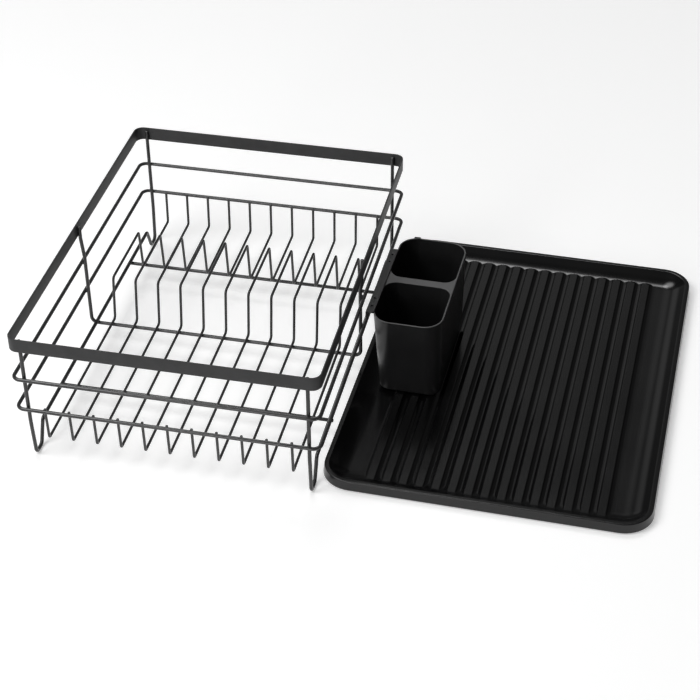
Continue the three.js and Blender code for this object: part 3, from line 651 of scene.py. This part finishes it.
def tray_border(lines_x, lines_y):
    """The level grid's border and the outward directions there, fanned round its four corners."""
    low_x, high_x, low_y, high_y = lines_x[0], lines_x[-1], lines_y[0], lines_y[-1]
    sides = [
        np.column_stack([lines_x, np.full(len(lines_x), low_y)]),
        np.column_stack([np.full(len(lines_y), high_x), lines_y]),
        np.column_stack([lines_x[::-1], np.full(len(lines_x), high_y)]),
        np.column_stack([np.full(len(lines_y), low_x), lines_y[::-1]]),
    ]
    fan = np.linspace(0, np.pi / 2, TRAY_CORNER_FAN + 1)[1:-1]
    around, out = [], []
    for k, side in enumerate(sides):
        angle = (k - 1) * np.pi / 2 + np.concatenate([np.zeros(len(side)), fan])
        around.append(np.concatenate([side, np.repeat(side[-1:], TRAY_CORNER_FAN - 1, 0)]))
        out.append(np.column_stack([np.cos(angle), np.sin(angle)]))
    return np.concatenate(around), np.concatenate(out)


def ribbed_floor(x, y, floor):
    """The floor's top with the ribs blended onto it."""
    return smooth_high(floor, TRAY_FLOOR + rib_rise(x, y, *RIB_ABOVE), FLOOR_BLEND)


def tray_surface():
    """Rounded rectangles at each point of the rim's section, round a level grid.

    Points = the grid's border + outward direction x (corner - inset), at the section's height. The ribs
    raise the floor's top, and channels hollow its underside below them.
    """
    section = tray_section()
    upper = (np.arange(len(section)) > section[:, 0].argmin())[:, None]
    inset = section[:, :1]
    lines_x, lines_y = tray_lines(TRAY_WIDTH / 2 - TRAY_CORNER, TRAY_DEPTH / 2 - TRAY_CORNER)
    around, out = tray_border(lines_x, lines_y)
    flat = around[None] + out[None] * (TRAY_CORNER - section[:, 0])[:, None, None]
    x, y = flat[..., 0], flat[..., 1]
    z = np.broadcast_to(section[:, 1:], x.shape)
    hollowed = np.where(inset > CHANNELS_FROM, np.maximum(z, rib_rise(x, y, *RIB_BELOW)), z)
    raised = np.where(inset > RIBS_FROM, ribbed_floor(x, y, z), z)
    z = np.where(upper, raised, hollowed)
    rings = np.stack([x, y, z], -1).reshape(-1, 3), grid_faces(len(section), len(around), False, True)

    x, y = np.meshgrid(lines_x, lines_y, indexing="ij")
    faces = grid_faces(len(lines_x), len(lines_y))
    above = np.stack([x, y, ribbed_floor(x, y, np.full_like(x, TRAY_FLOOR))], -1).reshape(-1, 3), faces
    below = np.stack([x, y, np.maximum(0 * x, rib_rise(x, y, *RIB_BELOW))], -1).reshape(-1, 3), faces
    return joined([rings, above, below])


points, faces = tray_surface()
tray = piece("drip_tray_dressed", in_tray(points), faces, tray_plastic, "tray")
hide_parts("drip_tray")

# Cutlery holder: lengths from the middle of its top outline, heights from its base, tapers from top to base

RIB_TOP = 0.0053
HOLDER_INSET = 0.0178
HOLDER_Y = 0.007
HOLDER_WIDTH = 0.0726
HOLDER_DEPTH = 0.158
HOLDER_HEIGHT = 0.0956
HOLDER_CORNER = 0.020
BASE_CORNER = 0.012
LEFT_TAPER = 0.0062
RIGHT_TAPER = 0.0014
FRONT_TAPER = 0.0108
BACK_TAPER = 0.0118
HOLDER_WALL = 0.0016
HOLDER_FLOOR = 0.002
BASE_ROUND = 0.003
RIM_ROUND = 0.0006
QUARTER_POINTS = 6
CORNER_STEPS = 12
RIM_STRIP = 0.0016
OUTER_LEVELS = (0.012, 0.05, HOLDER_HEIGHT - RIM_STRIP)
INNER_LEVELS = (0.014, 0.05, HOLDER_HEIGHT - RIM_STRIP)
RIM_FROM = 0.8

WEB_WIDTH = 0.0104
WEB_TAPER = 0.003
WEB_MIDDLE = -0.002
WEB_ROOF = 0.002
WEB_END = 0.0036
WEB_HOLLOW_CORNER = 0.0015
WEB_HOLLOW_STEPS = 3
POCKET_CORNER = 0.013
DRAIN_RADIUS = 0.003
DRAIN_SIDES = 20
DRAIN_PITCH = 0.018
DRAIN_COLUMNS = 2
DRAIN_ROWS = 3

FLANGE_RISE = 0.0015
FLANGE_TOP = HOLDER_HEIGHT + FLANGE_RISE
FLANGE_THICKNESS = 0.002
FLANGE_FRONT = -0.0663
FLANGE_BACK = 0.0507
FLANGE_REACH = 0.007
FLANGE_EDGE = -HOLDER_WIDTH / 2 - FLANGE_REACH
FLANGE_CORNER = 0.0012
SOFT_EDGE = 0.0004
SOFT_EDGE_POINTS = 5
SOFT_CORNER_STEPS = 5
HOOK_THICKNESS = 0.0017
HOOK_LENGTH = 0.030
HOOK_DEPTH = 0.009
HOOK_BELOW_TOP = 0.0003
HOOK_CORNER = 0.0008
FRONT_HOOK_TIP = 0.0016
CORE_X = (FLANGE_EDGE + HOOK_THICKNESS - HOLDER_WIDTH / 2) / 2
CORE_FROM_END = 0.011
NEXT_CORE_FROM_END = 0.0245
CORE_Y = [
    FLANGE_FRONT + CORE_FROM_END, FLANGE_FRONT + NEXT_CORE_FROM_END,
    FLANGE_BACK - NEXT_CORE_FROM_END, FLANGE_BACK - CORE_FROM_END,
]
CORE_RADIUS = 0.0013
CORE_SIDES = 16
CORE_DEPTH = 0.0012
CORE_TOLERANCE = 0.00005

LUG_BELOW_RIM = 0.0024
LUG_ABOVE_RIM = 0.0004
LUG_LOW = (-0.0234, 0.0772, HOLDER_HEIGHT - LUG_BELOW_RIM)
LUG_HIGH = (-0.0164, 0.0801, HOLDER_HEIGHT + LUG_ABOVE_RIM)
LUG_CORNER = 0.0006
LUG_EDGE = 0.0003
NORMAL_WEIGHT = 60


def in_holder(points):
    """Holder points set on the tray's ribs."""
    return in_tray(points + np.array([HOLDER_INSET + (HOLDER_WIDTH - TRAY_WIDTH) / 2, HOLDER_Y, RIB_TOP]))


def loop_between(low_x, high_x, low_y, high_y, front_corner, back_corner, steps=CORNER_STEPS):
    """A rectangle with one corner radius in front and another at the back, anticlockwise.

    A corner's points are its centre + its radius x (cosine, sine).
    """
    quarter = np.linspace(0, np.pi / 2, steps + 1)
    angle = np.concatenate([quarter + k * np.pi / 2 for k in (-1, 0, 1, 2)])
    size = np.repeat([front_corner, back_corner, back_corner, front_corner], steps + 1)
    centre_x = np.where(np.repeat([1, 1, 0, 0], steps + 1), high_x - size, low_x + size)
    centre_y = np.where(np.repeat([0, 1, 1, 0], steps + 1), high_y - size, low_y + size)
    return np.column_stack([centre_x + size * np.cos(angle), centre_y + size * np.sin(angle)])


def shell_loop(height, inset):
    """The outside at one height: each side stands in by inset + its taper x (1 - height / whole height)."""
    drop = 1 - height / HOLDER_HEIGHT
    corner = HOLDER_CORNER - (HOLDER_CORNER - BASE_CORNER) * drop - inset
    return loop_between(
        LEFT_TAPER * drop + inset - HOLDER_WIDTH / 2, HOLDER_WIDTH / 2 - inset - RIGHT_TAPER * drop,
        FRONT_TAPER * drop + inset - HOLDER_DEPTH / 2, HOLDER_DEPTH / 2 - inset - BACK_TAPER * drop,
        corner, corner,
    )


def pocket_loop(side, height, inset):
    """A pocket's inside at one height; side is -1 for the front pocket and 1 for the back one.

    Its outer sides stand one wall inside the shell's, and its inner one is half a web from the web's middle.
    """
    drop = 1 - height / HOLDER_HEIGHT
    web = WEB_MIDDLE + side * (WEB_WIDTH / 2 + WEB_TAPER * drop)
    front = FRONT_TAPER * drop + HOLDER_WALL - HOLDER_DEPTH / 2
    back = HOLDER_DEPTH / 2 - HOLDER_WALL - BACK_TAPER * drop
    outer = HOLDER_CORNER - (HOLDER_CORNER - BASE_CORNER) * drop - HOLDER_WALL - inset
    inner = POCKET_CORNER - inset
    return loop_between(
        LEFT_TAPER * drop + HOLDER_WALL - HOLDER_WIDTH / 2 + inset,
        HOLDER_WIDTH / 2 - HOLDER_WALL - RIGHT_TAPER * drop - inset,
        (front if side < 0 else web) + inset, (web if side < 0 else back) - inset,
        outer if side < 0 else inner, inner if side < 0 else outer,
    )


def web_loop(height):
    """The hollow inside the web at one height: half the web less a wall, on both sides of its middle."""
    drop = 1 - height / HOLDER_HEIGHT
    half = WEB_WIDTH / 2 + WEB_TAPER * drop - HOLDER_WALL
    return loop_between(
        LEFT_TAPER * drop + WEB_END - HOLDER_WIDTH / 2, HOLDER_WIDTH / 2 - WEB_END - RIGHT_TAPER * drop,
        WEB_MIDDLE - half, WEB_MIDDLE + half, WEB_HOLLOW_CORNER, WEB_HOLLOW_CORNER, WEB_HOLLOW_STEPS,
    )


def lofted(loops, heights):
    """Level loops of equal counts, one above another, joined by quads."""
    levels = [np.column_stack([loop, np.full(len(loop), height)]) for loop, height in zip(loops, heights)]
    return np.concatenate(levels), grid_faces(len(loops), len(loops[0]), False, True)


def inside(points, loop):
    """True where a ray to the right of the point crosses the loop an odd number of times."""
    a, b = loop[None], np.roll(loop, -1, 0)[None]
    x, y = points[:, :1], points[:, 1:]
    crosses = (a[..., 1] > y) != (b[..., 1] > y)
    with np.errstate(divide="ignore", invalid="ignore"):
        at = a[..., 0] + (y - a[..., 1]) * (b[..., 0] - a[..., 0]) / (b[..., 1] - a[..., 1])
    return (crosses & (x < at)).sum(1) % 2 == 1


def plate(outer, holes, height):
    """A level face between an outer loop and its holes, as triangles whose last corner is given twice."""
    loops = [outer, *holes]
    points = np.concatenate(loops)
    starts = np.cumsum([0] + [len(loop) for loop in loops])
    edges = [(s + k, s + (k + 1) % len(loop)) for s, loop in zip(starts, loops) for k in range(len(loop))]
    found, _, faces, *_ = delaunay_2d_cdt([Vector(p) for p in points], edges, [], 0, SAME_POINT)
    found, faces = np.array(found), np.array(faces)
    centre = found[faces].mean(1)
    keep = inside(centre, outer)
    for hole in holes:
        keep &= ~inside(centre, hole)
    faces = faces[keep]
    return np.column_stack([found, np.full(len(found), height)]), np.column_stack([faces, faces[:, -1:]])


def circle(x, y, radius, count):
    """A loop round a centre: centre + radius x (cosine, sine)."""
    angle = np.arange(count) * 2 * np.pi / count
    return np.column_stack([x + radius * np.cos(angle), y + radius * np.sin(angle)])


def drain_places(side):
    """Columns and rows of holes in the middle of a pocket's floor."""
    loop = pocket_loop(side, HOLDER_FLOOR, 0)
    middle = (loop.min(0) + loop.max(0)) / 2
    across = [middle[0] + (i - (DRAIN_COLUMNS - 1) / 2) * DRAIN_PITCH for i in range(DRAIN_COLUMNS)]
    along = [middle[1] + (j - (DRAIN_ROWS - 1) / 2) * DRAIN_PITCH for j in range(DRAIN_ROWS)]
    return [(x, y) for y in along for x in across]


def holder_surface():
    """Outside, rim, pockets, floors with drain holes, and the hollow web that is open below.

    At the base the loops stand in by round x (1 - sin a) where they have risen by round x (1 - cos a). At
    the rim the outside's stand in by round x (1 - cos a) where they are round x (1 - sin a) below the top,
    and a pocket's spread out by as much.
    """
    quarter = np.linspace(0, np.pi / 2, QUARTER_POINTS)
    base_part = [(BASE_ROUND * (1 - np.cos(a)), BASE_ROUND * (1 - np.sin(a))) for a in quarter]
    rim_part = [(HOLDER_HEIGHT - RIM_ROUND * (1 - np.sin(a)), RIM_ROUND * (1 - np.cos(a))) for a in quarter]
    steps = base_part + [(h, 0) for h in OUTER_LEVELS] + rim_part
    surfaces = [lofted([shell_loop(h, inset) for h, inset in steps], [h for h, _ in steps])]
    mouths, base_holes = [], []
    for side in (-1, 1):
        steps = [(HOLDER_FLOOR + h, inset) for h, inset in base_part] + [(h, 0) for h in INNER_LEVELS]
        steps += [(h, -inset) for h, inset in rim_part]
        surfaces.append(lofted([pocket_loop(side, h, inset) for h, inset in steps], [h for h, _ in steps]))
        mouths.append(pocket_loop(side, HOLDER_HEIGHT, -RIM_ROUND))
        drains = [circle(x, y, DRAIN_RADIUS, DRAIN_SIDES) for x, y in drain_places(side)]
        base_holes += drains
        surfaces.append(plate(pocket_loop(side, HOLDER_FLOOR, BASE_ROUND), drains, HOLDER_FLOOR))
        surfaces += [lofted([hole, hole], [0, HOLDER_FLOOR]) for hole in drains]
    surfaces.append(plate(shell_loop(HOLDER_HEIGHT, RIM_ROUND), mouths, HOLDER_HEIGHT))
    web_heights = [0.0, HOLDER_HEIGHT - WEB_ROOF]
    web = [web_loop(height) for height in web_heights]
    surfaces.append(lofted(web, web_heights))
    surfaces.append(plate(web[1], [], web_heights[1]))
    surfaces.append(plate(shell_loop(0, BASE_ROUND), [*base_holes, web[0]], 0.0))
    return joined(surfaces)


def soft_block(low, high, corner, edge, holes=(), depth=0.0):
    """A level slab with round corners and round edges, with blind holes of one depth in its top.

    Its loops stand in by edge x (1 - sin a) at edge x (1 - cos a) above the bottom, and by
    edge x (1 - cos a) at edge x (1 - sin a) below the top.
    """
    quarter = np.linspace(0, np.pi / 2, SOFT_EDGE_POINTS)
    levels = [(low[2] + edge * (1 - np.cos(a)), edge * (1 - np.sin(a))) for a in quarter]
    levels += [(high[2] - edge * (1 - np.sin(a)), edge * (1 - np.cos(a))) for a in quarter]
    loops = [
        loop_between(low[0] + inset, high[0] - inset, low[1] + inset, high[1] - inset,
                     corner - inset, corner - inset, SOFT_CORNER_STEPS)
        for _, inset in levels
    ]
    surfaces = [lofted(loops, [h for h, _ in levels])]
    surfaces.append(plate(loops[0], [], low[2]))
    surfaces.append(plate(loops[-1], holes, high[2]))
    surfaces += [lofted([hole, hole], [high[2] - depth, high[2]]) for hole in holes]
    surfaces += [plate(hole, [], high[2] - depth) for hole in holes]
    return joined(surfaces)


def flange_surface():
    """The strip on the left rim, with its core holes, and the two lips that hook over a ring of the rack."""
    holes = [circle(CORE_X, y, CORE_RADIUS, CORE_SIDES) for y in CORE_Y]
    strip = soft_block(
        (FLANGE_EDGE, FLANGE_FRONT, FLANGE_TOP - FLANGE_THICKNESS),
        (-HOLDER_WIDTH / 2 + HOLDER_WALL, FLANGE_BACK, FLANGE_TOP),
        FLANGE_CORNER, SOFT_EDGE, holes, CORE_DEPTH,
    )
    ends = [
        (FLANGE_FRONT - FRONT_HOOK_TIP, FLANGE_FRONT + HOOK_LENGTH),
        (FLANGE_BACK - HOOK_LENGTH, FLANGE_BACK),
    ]
    lips = [
        soft_block((FLANGE_EDGE, front, FLANGE_TOP - HOOK_DEPTH),
                   (FLANGE_EDGE + HOOK_THICKNESS, back, FLANGE_TOP - HOOK_BELOW_TOP), HOOK_CORNER, SOFT_EDGE)
        for front, back in ends
    ]
    return joined([strip, *lips])


def face_middles(item):
    """The middle of every face."""
    middles = np.empty(3 * len(item.data.polygons))
    item.data.polygons.foreach_get("center", middles)
    return middles.reshape(-1, 3)


def second_material(item, material, chosen):
    """Another material on the chosen faces."""
    item.data.materials.append(material)
    item.data.polygons.foreach_set("material_index", chosen.astype(np.int32))


def dress_holder():
    """The pockets with a lighter matte copy of the plastic on the rim top as painted light, the flange with
    painted shade in its core holes, and the lug at the back.
    """
    points, faces = holder_surface()
    holder = piece(
        "cutlery_holder_dressed", in_holder(points), faces, holder_plastic, "holder"
    )
    # Faces at the rim top take the lighter copy of the plastic: painted light on the holder's top.
    lit_rim_faces = face_middles(holder)[:, 2] > RIB_TOP + HOLDER_HEIGHT - RIM_FROM * RIM_ROUND
    second_material(holder, lit_rim_plastic, lit_rim_faces)
    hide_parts("front_pocket", "back_pocket")

    points, faces = flange_surface()
    flange = piece(
        "hook_flange_dressed", in_holder(points), faces, flange_plastic, "holder"
    )
    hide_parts("hook_flange")
    # Faces inside the blind core holes take the tray's near-black plastic: painted shade in the holes.
    middles = face_middles(flange)
    holes = in_holder(np.array([[CORE_X, y, FLANGE_TOP] for y in CORE_Y]))
    beside = np.linalg.norm(middles[:, None, :2] - holes[None, :, :2], axis=2).min(1)
    below = holes[0, 2] - middles[:, 2]
    hole_shade_faces = (beside < CORE_RADIUS + CORE_TOLERANCE) & (below > CORE_TOLERANCE)
    hole_shade_faces &= below < CORE_DEPTH + CORE_TOLERANCE
    second_material(flange, tray_plastic, hole_shade_faces)

    points, faces = soft_block(LUG_LOW, LUG_HIGH, LUG_CORNER, LUG_EDGE)
    piece("back_rim_lug", in_holder(points), faces, holder_plastic, "holder")
    for item in (holder, flange):
        steady = item.modifiers.new("steady_normals", "WEIGHTED_NORMAL")
        steady.weight = NORMAL_WEIGHT


dress_holder()

# Floor, surroundings and lamp

FLOOR_REACH = 30.0
FLOOR_TONE = 0.86
FLOOR_ROUGHNESS = 0.9
FLOOR_GLOW = 0.4

# Soft patches: azimuth from +X, elevation, full within and none beyond these degrees, strength

ALL_ROUND = (0, 90, 0, 180, 0.10)
PATCHES = [
    (108, 32, 8, 28, 0.05),
    (100, 31, 4, 12, 0.27),
    (120, 22, 3, 10, 0.38),
    (256, 20, 10, 28, 0.5),
    (257, 14, 3, 8, 14.0),
    (102, 56, 2, 10, 8.5),
    (128, 58, 4, 15, 5.0),
    (258, 66, 5, 30, 0.08),
]
SOFTBOX_PLACE = (-1.31, -0.92, 2.05)
SOFTBOX_TARGET = (0.1, 0, 0)
SOFTBOX_SIDE = 1.2
SOFTBOX_WATTS = 34


def floor_plate():
    """One flat square at the ground."""
    data = bpy.data.meshes.new("floor")
    reach = FLOOR_REACH
    corners = [(-reach, -reach, 0), (reach, -reach, 0), (reach, reach, 0), (-reach, reach, 0)]
    data.from_pydata(corners, [], [(0, 1, 2, 3)])
    item = bpy.data.objects.new("floor", data)
    bpy.context.scene.collection.objects.link(item)
    return item


def floor_material():
    """A pale matte floor that also glows to the camera and in reflections, and takes the object's shadow."""
    material, node_tree, shader = tree("pale_floor")
    nodes, links = node_tree.nodes, node_tree.links
    shader.inputs["Base Color"].default_value = (FLOOR_TONE, FLOOR_TONE, FLOOR_TONE, 1)
    shader.inputs["Roughness"].default_value = FLOOR_ROUGHNESS
    shader.inputs["Specular IOR Level"].default_value = 0.0
    path = nodes.new("ShaderNodeLightPath")
    either = nodes.new("ShaderNodeMath")
    either.operation = "MAXIMUM"
    links.new(path.outputs["Is Camera Ray"], either.inputs[0])
    links.new(path.outputs["Is Glossy Ray"], either.inputs[1])
    all_three = nodes.new("ShaderNodeMath")
    all_three.operation = "MAXIMUM"
    links.new(either.outputs[0], all_three.inputs[0])
    links.new(path.outputs["Is Transmission Ray"], all_three.inputs[1])
    level = nodes.new("ShaderNodeMath")
    level.operation = "MULTIPLY"
    level.inputs[1].default_value = FLOOR_GLOW
    links.new(all_three.outputs[0], level.inputs[0])
    glow = nodes.new("ShaderNodeEmission")
    glow.inputs["Color"].default_value = (1, 1, 1, 1)
    links.new(level.outputs[0], glow.inputs["Strength"])
    both = nodes.new("ShaderNodeAddShader")
    links.new(shader.outputs["BSDF"], both.inputs[0])
    links.new(glow.outputs["Emission"], both.inputs[1])
    links.new(both.outputs["Shader"], nodes["Material Output"].inputs["Surface"])
    return material


def pale_patch(nodes, links, direction, azimuth, elevation, full, faded, strength):
    """A soft round patch: full strength within one angle of its middle, none beyond the other.

    Between them the strength follows a smooth step of the cosine of the angle from the middle.
    """
    azimuth, elevation = np.radians(azimuth), np.radians(elevation)
    middle = np.cos(azimuth) * np.cos(elevation), np.sin(azimuth) * np.cos(elevation), np.sin(elevation)
    nearness = nodes.new("ShaderNodeVectorMath")
    nearness.operation = "DOT_PRODUCT"
    nearness.inputs[1].default_value = middle
    links.new(direction, nearness.inputs[0])
    fade = nodes.new("ShaderNodeMapRange")
    fade.interpolation_type = "SMOOTHSTEP"
    fade.inputs["From Min"].default_value = np.cos(np.radians(faded))
    fade.inputs["From Max"].default_value = np.cos(np.radians(full))
    fade.inputs["To Max"].default_value = strength
    links.new(nearness.outputs["Value"], fade.inputs["Value"])
    return fade.outputs["Result"]


def studio_world():
    """Surroundings whose strength is the sum of the soft patches."""
    world = bpy.data.worlds.new("studio")
    world.use_nodes = True
    bpy.context.scene.world = world
    nodes, links = world.node_tree.nodes, world.node_tree.links
    nodes.clear()
    place = nodes.new("ShaderNodeTexCoord")
    pale = nodes.new("ShaderNodeBackground")
    output = nodes.new("ShaderNodeOutputWorld")
    links.new(pale.outputs["Background"], output.inputs["Surface"])
    direction = place.outputs["Generated"]
    total = pale_patch(nodes, links, direction, *ALL_ROUND)
    for patch in PATCHES:
        add = nodes.new("ShaderNodeMath")
        add.operation = "ADD"
        links.new(total, add.inputs[0])
        links.new(pale_patch(nodes, links, direction, *patch), add.inputs[1])
        total = add.outputs["Value"]
    links.new(total, pale.inputs["Strength"])


def left_softbox():
    """A square area lamp that faces its target."""
    data = bpy.data.lights.new("left_softbox", "AREA")
    data.shape = "RECTANGLE"
    data.size = SOFTBOX_SIDE
    data.size_y = SOFTBOX_SIDE
    data.energy = SOFTBOX_WATTS
    lamp = bpy.data.objects.new("left_softbox", data)
    lamp.location = SOFTBOX_PLACE
    aim = Vector(SOFTBOX_TARGET) - Vector(SOFTBOX_PLACE)
    lamp.rotation_euler = aim.to_track_quat("-Z", "Y").to_euler()
    bpy.context.scene.collection.objects.link(lamp)


floor = floor_plate()
floor.data.materials.append(floor_material())
studio_world()
left_softbox()
